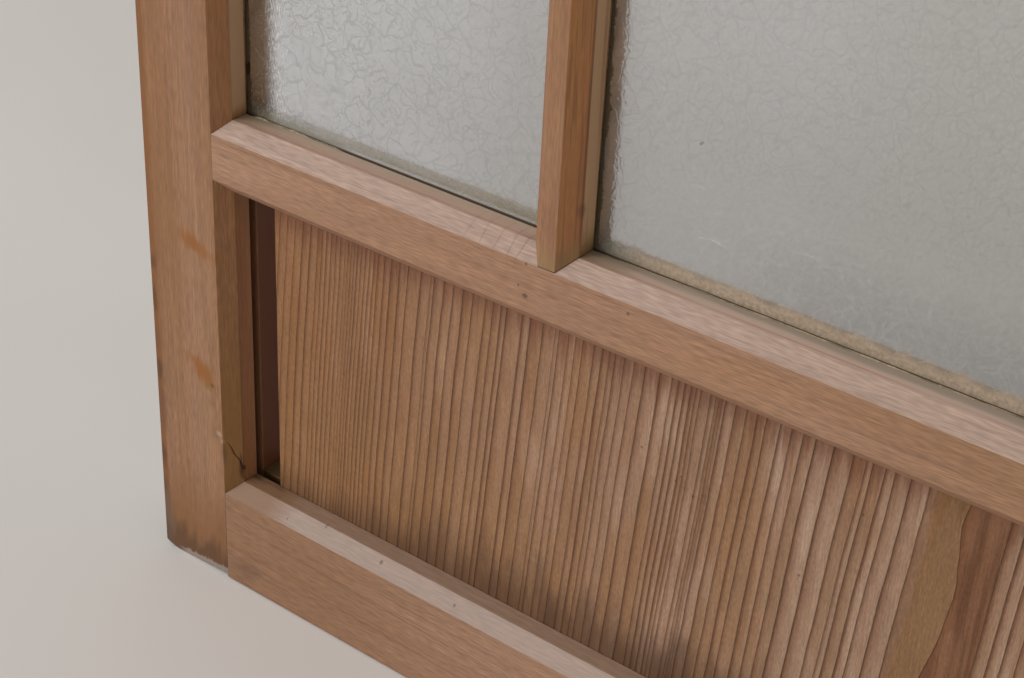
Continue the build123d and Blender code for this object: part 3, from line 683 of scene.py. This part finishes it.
def weathered_board():
    """A thin cedar board whose soft early wood has weathered down beside each ring's hard, dark edge."""
    material, tree, place = new_material("weathered_cedar_board")
    x, _, z = add(tree, "SeparateXYZ", {0: place}).node.outputs
    phase = add(tree, "Attribute", out="Fac", attribute_name="ring_phase")
    reach = add(tree, "Attribute", out="Fac", attribute_name="ring_reach")
    strength = add(tree, "Attribute", out="Fac", attribute_name="ring_strength")
    tone = add(tree, "Attribute", out="Fac", attribute_name="ring_tone")
    band = add(tree, "Attribute", out="Fac", attribute_name="ring_band")
    # Fibres drawn 0.6 mm wide so that they show, streaks 2.5 mm wide, and clouds of colour
    fibre = threads(tree, place, False, 0.6, 9, Detail=3.0, Roughness=0.7)
    pore = threads(tree, place, False, 0.5, 2.0, Detail=1.0)
    streak = threads(tree, place, False, 2.5, 60, Detail=2.0)
    blotch = threads(tree, place, False, 22, 80, Detail=3.0)
    paled = threads(tree, place, False, 9, 45, Detail=2.0)
    # The pale shelf: greyish or tan ring by ring, and in clouds
    colour = lay(tree, "#957660", "#8a694f", 1.0, (tone, 0.15, 0.85))
    colour = lay(tree, colour, "#8a6440", 0.45, (blotch, 0.46, 0.66))
    colour = lay(tree, colour, "#a88e7c", 0.5, (paled, 0.5, 0.72), (blotch, 0.62, 0.45))
    colour = lay(tree, colour, "#a68a72", 0.3, (phase, 0.55, 0.95), (strength, 0.3, 0.9))
    colour = lay(tree, colour, "#7f5130", 0.35, (streak, 0.5, 0.72))
    # Tan over the left half, and a darker, redder painted shadow beneath the mid rail
    edge = BOARD_LOW.x
    colour = lay(tree, colour, "#7d5129", 0.42, (x, edge + 90 * MM, edge))
    colour = lay(tree, colour, "#895a2f", 0.5, (x, edge + 240 * MM, edge + 30 * MM))
    low_left = ((z, 125 * MM, 75 * MM), (x, edge + 210 * MM, edge + 60 * MM))
    colour = lay(tree, colour, "#8a6436", 0.3, *low_left)
    shadow_under_rail = add(tree, "Math", {0: streak, 1: 26 * MM, 2: z}, operation="MULTIPLY_ADD")
    colour = lay(tree, colour, "#6a3a24", 0.7, (shadow_under_rail, MID_LOW - 4 * MM, MID_LOW + 10 * MM))
    # The slope from the line up to the shelf is browner, and the line itself darkest: the ring's own
    # colour, with painted shadow of each ring's step
    colour = lay(tree, colour, "#6e462d", 0.75, (phase, 0.66, 0.04), (strength, 0.0, 0.9))
    colour = lay(tree, colour, "#4f2e1b", 0.8, (reach, 1.4, 0.25), (strength, 0.0, 0.9))
    # The tan of the wide ring, and the broad dark one after it, mottled and streaked
    wide_ring = ((band, 0.3, 0.5), (band, 0.8, 0.55))
    colour = lay(tree, colour, "#76532b", 0.7, *wide_ring, (phase, 0.1, 0.3))
    colour = lay(tree, colour, "#76543a", 0.5, *wide_ring, (phase, 0.35, 0.05))
    dark_band = (band, 0.7, 0.9)
    colour = lay(tree, colour, "#6f4527", 0.85, dark_band)
    colour = lay(tree, colour, "#56331c", 0.7, dark_band, (streak, 0.4, 0.6))
    colour = lay(tree, colour, "#7f5a40", 0.5, dark_band, (paled, 0.48, 0.66))
    colour = grained(tree, colour, (fibre, 0.18), (pore, 0.14), (paled, 0.07))
    # Damp has darkened the foot in smudges
    smudge = threads(tree, place, False, 7, 24, Detail=3.0)
    ragged = add(tree, "Math", {0: smudge, 1: 2.6, 2: -1.3}, operation="MULTIPLY_ADD")
    for centre, size, amount in (
        ((-158, 0, 54), (40, 20, 12), 0.55),
        ((-238, 0, 58), (30, 20, 12), 0.45),
        ((-262, 0, 49), (40, 20, 8), 0.4),
        ((-128, 0, 54), (36, 20, 11), 0.45),
    ):
        reach_out = spot(tree, place, centre, size, 0.0, ragged)
        colour = lay(tree, colour, "#432a1a", amount, (reach_out, 2.1, -0.1))
    colour = lay(tree, colour, "#4d3525", 0.45, (z, BOTTOM_TOP + 16 * MM, BOTTOM_TOP - 2 * MM))
    # Specks
    for centre, size in (
        ((-82.0, 0, 150.0), 0.5),
        ((-100.0, 0, 118.0), 0.5),
        ((-236.0, 0, 95.0), 0.4),
        ((-162.0, 0, 139.0), 0.5),
        ((-148.0, 0, 132.0), 0.5),
        ((-146.2, 0, 134.5), 0.4),
        ((-141.0, 0, 129.0), 0.5),
        ((-137.5, 0, 131.0), 0.4),
    ):
        reach_out = spot(tree, place, centre, (size, 9, size))
        colour = lay(tree, colour, "#3f2a1c", 0.6, (reach_out, 1.5, 0.5))
    dull_surface(tree, colour, fibre, (0.5, 0.68), (0.4, 0.12), DULL_SPECULAR)
    return material


def packed_grime(name, body, dark):
    """Dust and old putty packed into a groove beside a pane: dull, gritty and uneven in colour."""
    material, tree, place = new_material(name)
    grit = add(tree, "TexNoise", {"Vector": place, "Scale": 1 / (0.9 * MM), "Detail": 3.0})
    patches = add(tree, "TexNoise", {"Vector": place, "Scale": 1 / (7 * MM), "Detail": 2.0})
    colour = lay(tree, body, dark, 0.8, (patches, 0.42, 0.66))
    colour = grained(tree, colour, (grit, 0.3))
    dull_surface(tree, colour, grit, (0.75, 0.95), (0.6, 0.2), DUSTY_SPECULAR)
    return material


def painted_floor():
    """A plain pale floor, painted matt."""
    material, tree, place = new_material("matt_painted_floor")
    soft = add(tree, "TexNoise", {"Vector": place, "Scale": 3.0, "Detail": 2.0})
    colour = lay(tree, "#d8d4d1", "#dcd9d6", 1.0, (soft, 0.3, 0.7))
    rough = add(tree, "MapRange", {"Value": soft, **NOISE_RANGE, "To Min": 0.75, "To Max": 0.85})
    shader = add(tree, "BsdfPrincipled", {"Base Color": colour, "Roughness": rough})
    add(tree, "OutputMaterial", {"Surface": shader})
    return material


def mesh_piece(name, points, faces, material, smooth=False):
    """A new mesh object made from points and faces, with one material."""
    mesh = bpy.data.meshes.new(name)
    mesh.from_pydata(points, [], faces)
    mesh.materials.append(material)
    for polygon in mesh.polygons:
        polygon.use_smooth = smooth
    piece = bpy.data.objects.new(name, mesh)
    bpy.context.collection.objects.link(piece)
    return piece


# The kick board's growth rings at mid height, from just left of its edge: how many, and how wide
# each is in mm. Fine and broad runs follow each other as the seasons did
RING_RUNS = (
    (7, 3.8), (6, 2.2), (4, 1.4), (5, 2.0), (2, 2.9), (2, 3.7), (1, 5.8), (1, 4.6), (1, 1.5), (4, 4.2),
    (1, 5.3), (2, 3.4), (1, 2.4), (1, 6.6), (1, 3.4), (2, 5.3), (1, 1.5), (1, 4.1), (2, 3.0), (1, 4.3),
    (2, 3.1), (1, 2.2), (2, 3.6), (1, 4.3), (1, 6.0), (1, 4.5), (3, 2.4), (2, 1.7), (1, 3.6), (1, 1.9),
    (3, 1.1), (3, 3.9), (1, 3.3), (1, 4.8), (3, 4.0), (1, 6.4), (1, 6.6), (1, 4.3), (1, 2.2), (1, 4.0),
    (1, 3.3), (1, 5.0), (1, 6.2), (1, 15.5), (1, 11.2), (1, 4.3), (1, 3.9),
    (2, 4.7), (5, 3.2), (8, 2.4), (4, 4.1), (3, 5.6), (7, 3.3), (9, 2.2), (5, 4.6), (2, 7.2), (6, 3.6),
    (8, 2.8), (5, 4.9), (10, 2.3), (4, 5.2), (6, 3.9), (7, 2.6), (9, 4.4),
    (5, 2.9), (4, 3.8), (6, 2.5),
)
FIRST_RING = -9.1 * MM
WIDE_RING = 15.5
DARK_BAND = 11.2
FINE_RING = 2.5
# How far across a ring its shape is held: the step at its line, the slope, and the shelf
FINE_STAGES = (0.0, 0.12, 0.35, 0.6, 0.9, 1.0)
RING_STAGES = (0.0, 0.06, 0.16, 0.32, 0.5, 0.75, 0.95, 1.0)
WIDE_STAGES = (0.0, 0.02, 0.05, 0.1, 0.16, 0.24, 0.34, 0.46, 0.6, 0.8, 0.97, 0.99, 1.0)
# Relief: where the slope ends, the deepest step in mm, and how much of it shows, more to the right
SLOPE_END = 0.55
DEEPEST_RING = 0.25
RELIEF_SHARE, RELIEF_GAIN = 0.45, 0.3
BACK_RELIEF = 0.6
# How dark the lines are, more to the right over this width, with rings under so many mm fainter
CALM_WIDTH = 250 * MM
LINE_STRENGTH, LINE_GAIN, LINE_SPREAD = 0.44, 0.14, 0.12
FAINT_RING = 1.6
# What each point tells the finish
TOLD = ("ring_phase", "ring_reach", "ring_strength", "ring_tone", "ring_band")
# The rings lean, and drift in long waves and short ones, and the skin is uneven: noise steps a metre
# across and up, and a seed
LEAN_LEFT = 0.075
LEAN_RIGHT = 0.050
LONG_WAVES = (40, 18, 1.7)
SHORT_WAVES = (220, 70, 4.1)
SKIN_WAVES = (900, 40, 9.3)
# The mesh: its rows, how near two columns come, and how near points are welded
ROWS = 29
LEAST_STEP = 0.015 * MM
WELD = 0.004 * MM
# The wide ring's far edge bellies to the right below mid height and pinches at the foot: how far
# it stands out, in mm, at heights above the bottom rail
BELLY = ((0, -4.5), (45, -4.0), (75, -0.6), (90, 0.4), (103, -1.2), (113, -2.8), (127, -1.4), (150, 0.0))


def belly(height):
    """How far the wide ring's edge wanders from a straight line at a height."""
    level = (height - BOTTOM_TOP) / MM
    for (low, out_low), (high, out_high) in zip(BELLY, BELLY[1:]):
        if level <= high:
            share = max(0.0, (level - low) / (high - low))
            share = share * share * (3 - 2 * share)
            return (out_low + (out_high - out_low) * share) * MM
    return 0.0


def ring_relief(stage, width):
    """How far the surface lies below the shelf, in mm: a sharp step at the line, then a slope."""
    depth = min(0.06 + 0.035 * width, DEEPEST_RING)
    return depth * max(0.0, 1.0 - stage / SLOPE_END) ** 1.3


def board_columns():
    """The board's columns from left to right, a few for each ring, with what each tells the finish."""
    rng = random.Random(7)
    columns = []
    place = BOARD_LOW.x + FIRST_RING
    for count, width in RING_RUNS:
        wide, dark = width == WIDE_RING, width == DARK_BAND
        for _ in range(count):
            ring_width = width if wide or dark else width * rng.uniform(0.97, 1.03)
            tone = rng.uniform(0.0, 1.0)
            share = min(max((place - BOARD_LOW.x) / CALM_WIDTH, 0.0), 1.0)
            strength = LINE_STRENGTH + LINE_GAIN * share + rng.uniform(-LINE_SPREAD, LINE_SPREAD)
            if ring_width < FAINT_RING:
                strength *= 0.75
            stages = FINE_STAGES if ring_width < FINE_RING else RING_STAGES
            if wide or dark:
                stages = WIDE_STAGES
            for stage in stages:
                columns.append(
                    {
                        "across": place + stage * ring_width * MM,
                        "ring_phase": stage,
                        "ring_reach": stage * ring_width,
                        "ring_strength": strength,
                        "ring_tone": tone,
                        "ring_band": 1.0 if dark else (0.5 if wide else 0.0),
                        "relief": ring_relief(stage, ring_width) * (RELIEF_SHARE + RELIEF_GAIN * share),
                        "belly": stage if wide else (1.0 - stage if dark else 0.0),
                    }
                )
            place += ring_width * MM
    return columns


def waver(pattern, across, height):
    """A soft noise over the board, from -1 to 1."""
    steps_across, steps_up, seed = pattern
    return noise.noise(Vector((across * steps_across, height * steps_up, seed)))


def board_points(columns, heights):
    """The board's points, front then back, which lie past its edges, and what each tells the finish."""
    low, high = BOARD_LOW.x, BOARD_HIGH.x
    middle = (BOTTOM_TOP + MID_LOW) / 2
    points, outside = [], []
    values = {label: [] for label in TOLD}
    for behind in (False, True):
        for height in heights:
            last = -1.0
            for column in columns:
                across = column["across"]
                share = (across - low) / (high - low)
                lean = LEAN_LEFT + (LEAN_RIGHT - LEAN_LEFT) * share
                drift = waver(LONG_WAVES, across, height) * 0.7 * MM
                drift += waver(SHORT_WAVES, across, height) * 0.2 * MM
                moved = across + lean * (height - middle) + drift + column["belly"] * belly(height)
                moved = max(moved, last + LEAST_STEP)
                last = moved
                wander = (waver(SKIN_WAVES, across, height) + 1) * 0.03 * MM
                relief = column["relief"] * MM
                front, back = BOARD_LOW.y + relief + wander, BOARD_HIGH.y - relief * BACK_RELIEF - wander
                points.append((min(max(moved, low), high), back if behind else front, height))
                outside.append(-1 if moved < low else (1 if moved > high else 0))
                for label in TOLD:
                    values[label].append(column[label])
    return points, outside, values


def kick_board_mesh(material):
    """The board with its rings standing proud, front and back, leaning and drifting as real ones do."""
    columns = board_columns()
    rise = BOARD_HIGH.z - BOARD_LOW.z
    heights = [BOARD_LOW.z + rise * row / (ROWS - 1) for row in range(ROWS)]
    points, outside, values = board_points(columns, heights)
    wide = len(columns)
    sheet = wide * ROWS
    faces = []
    for side in (0, 1):
        for row in range(ROWS - 1):
            for column in range(wide - 1):
                a = side * sheet + row * wide + column
                b, c, d = a + 1, a + wide + 1, a + wide
                if {outside[i] for i in (a, b, c, d)} in ({-1}, {1}):
                    continue
                faces.append((a, d, c, b) if side else (a, b, c, d))
    piece = mesh_piece("kick_board_grain", points, faces, material, smooth=True)
    for label in TOLD:
        piece.data.attributes.new(label, "FLOAT", "POINT").data.foreach_set("value", values[label])
    # Drop the points past the edges, and close the two sheets into one board
    shape = bmesh.new()
    shape.from_mesh(piece.data)
    loose = [vert for vert in shape.verts if not vert.link_faces]
    bmesh.ops.delete(shape, geom=loose, context="VERTS")
    bmesh.ops.remove_doubles(shape, verts=shape.verts, dist=WELD)
    bmesh.ops.bridge_loops(shape, edges=[edge for edge in shape.edges if edge.is_boundary])
    bmesh.ops.recalc_face_normals(shape, faces=shape.faces)
    shape.to_mesh(piece.data)
    shape.free()
    return piece


def finish_node(name, material):
    """Give a CAD solid its finish."""
    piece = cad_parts[name]
    if not piece.data.materials:
        piece.data.materials.append(material)
    for place in range(len(piece.material_slots)):
        piece.material_slots[place].material = material


# A bead of dirt in a groove: where it meets the lip, how long its pieces are, how deep it goes, how far
# it falls to the pane, how far it thins out at its ends, and how low it stays against the lip
BEAD_LIP = GROOVE_FRONT + 0.06 * MM
BEAD_PANE = GLASS_FRONT - 0.04 * MM
BEAD_PIECE = 0.9 * MM
BEAD_DEPTH = 3.0 * MM
BEAD_FALL = 0.45 * MM
BEAD_THINNED = 0.35 * MM
BEAD_RIM = -0.08 * MM
BEAD_CORNERS = 5


def groove_grime(name, start, end, out, height, seed, material):
    """A bead packed between the groove's lip and the glass, sloping in to the pane, thin at its ends."""
    start, end, out = Vector(start), Vector(end), Vector(out)
    steps = int((end - start).length / BEAD_PIECE)
    points, faces = [], []
    for step in range(steps + 1):
        share = step / steps
        mouth = start.lerp(end, share)
        taper = min(1.0, 10 * share, 10 * (1 - share))
        along = (mouth - start).length
        lift = noise.noise(Vector((along / (9 * MM), seed, 0.3)))
        lift += 0.5 * noise.noise(Vector((along / (2.2 * MM), seed, 7.1)))
        top = height * (lift + 0.5) * taper - BEAD_THINNED * (1 - taper)
        shape = (
            (BEAD_LIP, -BEAD_DEPTH),
            (BEAD_LIP, min(top, BEAD_RIM)),
            (BEAD_LIP + 0.45 * (BEAD_PANE - BEAD_LIP), top),
            (BEAD_PANE, top - BEAD_FALL),
            (BEAD_PANE, -BEAD_DEPTH),
        )
        points += [mouth + out * level + Vector((0, depth, 0)) for depth, level in shape]
    for step in range(steps):
        for side in range(BEAD_CORNERS):
            a, b = step * BEAD_CORNERS + side, step * BEAD_CORNERS + (side + 1) % BEAD_CORNERS
            faces.append((a, b, b + BEAD_CORNERS, a + BEAD_CORNERS))
    faces.append(tuple(reversed(range(BEAD_CORNERS))))
    faces.append(tuple(steps * BEAD_CORNERS + corner for corner in range(BEAD_CORNERS)))
    bead = mesh_piece(name, points, faces, material, smooth=True)
    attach(bead, "root")


# Finishes on the CAD's own solids
upright_finish = upright_cedar()
level_finish = level_cedar()
glass_finish = flake_glass()
wedge_finish = split_hardwood()
board_finish = weathered_board()
green_grime = packed_grime("packed_green_grime", "#a1937c", "#6f6653")
brown_grime = packed_grime("packed_brown_grime", "#8a6a50", "#5d4632")
for name in ("left_stile", "right_stile", "left_muntin", "right_muntin"):
    finish_node(name, upright_finish)
for name in ("bottom_rail", "mid_rail", "top_rail"):
    finish_node(name, level_finish)
for name in ("glass_left", "glass_centre", "glass_right"):
    finish_node(name, glass_finish)
for side in ("left", "right"):
    for position in ("upper", "lower"):
        finish_node(side + "_" + position + "_wedge", wedge_finish)

# What has packed into the grooves. Along the panes' feet, each bead's ends and how far they are sunk
# below the rail's rim, its height, its noise's seed, and its finish: green, but sunk and dark at the
# left pane's right end
for label, start, start_sunk, end, end_sunk, height, seed, grime in (
    ("left_foot", STILE_INNER + 2 * MM, 0, -293 * MM, 0, 0.35 * MM, 1.0, green_grime),
    ("left_gap", -294 * MM, 0.3 * MM, MUNTIN_LOW - 1 * MM, 1.1 * MM, 0.05 * MM, 3.0, brown_grime),
    ("centre_foot", MUNTIN_HIGH + 1 * MM, 0, -MUNTIN_HIGH - 1 * MM, 0, 0.25 * MM, 5.0, green_grime),
    ("right_foot", -MUNTIN_LOW + 1 * MM, 0, HALF_OPENING - 2 * MM, 0, 0.2 * MM, 2.0, green_grime),
):
    low, high = (start, 0, MID_HIGH - start_sunk), (end, 0, MID_HIGH - end_sunk)
    groove_grime("grime_" + label, low, high, (0, 0, 1), height, seed, grime)
# and brown up their sides
for label, edge, out in (
    ("left_stile", STILE_INNER, 1),
    ("left_muntin_outer", MUNTIN_LOW, -1),
    ("left_muntin_inner", MUNTIN_HIGH, 1),
    ("right_muntin_inner", -MUNTIN_HIGH, -1),
    ("right_muntin_outer", -MUNTIN_LOW, 1),
    ("right_stile", HALF_OPENING, -1),
):
    low, high = (edge, 0, MID_HIGH + 0.5 * MM), (edge, 0, TOP_LOW - 0.5 * MM)
    groove_grime("grime_" + label, low, high, (out, 0, 0), 0.06 * MM, edge / MM, brown_grime)

# The kick board, with its rings in relief
board = kick_board_mesh(board_finish)
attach(board, "root")
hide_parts("kick_board")

# Floor
FLOOR_REACH = 8.0
corners = [(x * FLOOR_REACH, y * FLOOR_REACH, 0) for x, y in ((-1, -1), (1, -1), (1, 1), (-1, 1))]
floor = mesh_piece("floor", corners, [(0, 1, 2, 3)], painted_floor())

# Camera, from the vanishing points of the leaf's own edges
CAMERA_PLACE = (0.1105, -0.4487, 0.4874)
CAMERA_TURN = 36.25
CAMERA_DIP = 30.75
CAMERA_ROLL = 2.906
CAMERA_SENSOR = 36.0
CAMERA_LENS = 67.45
camera_data = bpy.data.cameras.new("camera")
camera_data.sensor_fit = "HORIZONTAL"
camera_data.sensor_width = CAMERA_SENSOR
camera_data.lens = CAMERA_LENS
camera_data.clip_start = 0.01
camera = bpy.data.objects.new("camera", camera_data)
camera.matrix_world = (
    Matrix.Translation(CAMERA_PLACE)
    @ Matrix.Rotation(math.radians(CAMERA_TURN), 4, "Z")
    @ Matrix.Rotation(math.radians(90 - CAMERA_DIP), 4, "X")
    @ Matrix.Rotation(math.radians(CAMERA_ROLL), 4, "Z")
)
bpy.context.collection.objects.link(camera)
bpy.context.scene.camera = camera


def softbox(name, towards, distance, width, height, power, tint, aim=(-0.2, 0.0, 0.3)):
    """A soft rectangular lamp, seen from the object in one direction and facing it."""
    data = bpy.data.lights.new(name, "AREA")
    data.shape = "RECTANGLE"
    data.size = width
    data.size_y = height
    data.energy = power
    data.color = linear(tint)[:3]
    lamp = bpy.data.objects.new(name, data)
    direction = Vector(towards).normalized()
    lamp.location = Vector(aim) + direction * distance
    lamp.rotation_euler = direction.to_track_quat("Z", "Y").to_euler()
    bpy.context.collection.objects.link(lamp)


softbox("front_left_window", (-0.55, -0.79, 0.27), 3.2, 2.6, 1.8, 62.0, "#ffffff")
softbox("upper_left_window", (-0.508, -0.458, 0.729), 3.0, 1.5, 1.5, 22.0, "#ffffff")

# The room: an even glow on the leaf, and a pale backdrop that the camera and the glass see
world = bpy.data.worlds.new("studio")
world.use_nodes = True
room = world.node_tree
room.nodes.clear()
glow = add(room, "Background", {"Color": "#f5f0e8", "Strength": 0.45})
backdrop = add(room, "Background", {"Color": "#e6e4e2", "Strength": 1.0})
rays = add(room, "LightPath").node.outputs
seen = add(room, "Math", {0: rays["Is Camera Ray"], 1: rays["Is Glossy Ray"]}, operation="MAXIMUM")
seen = add(room, "Math", {0: seen, 1: rays["Is Transmission Ray"]}, operation="MAXIMUM")
add(room, "OutputWorld", {"Surface": add(room, "MixShader", {0: seen, 1: glow, 2: backdrop})})
bpy.context.scene.world = world
bpy.context.scene.view_settings.view_transform = "Standard"
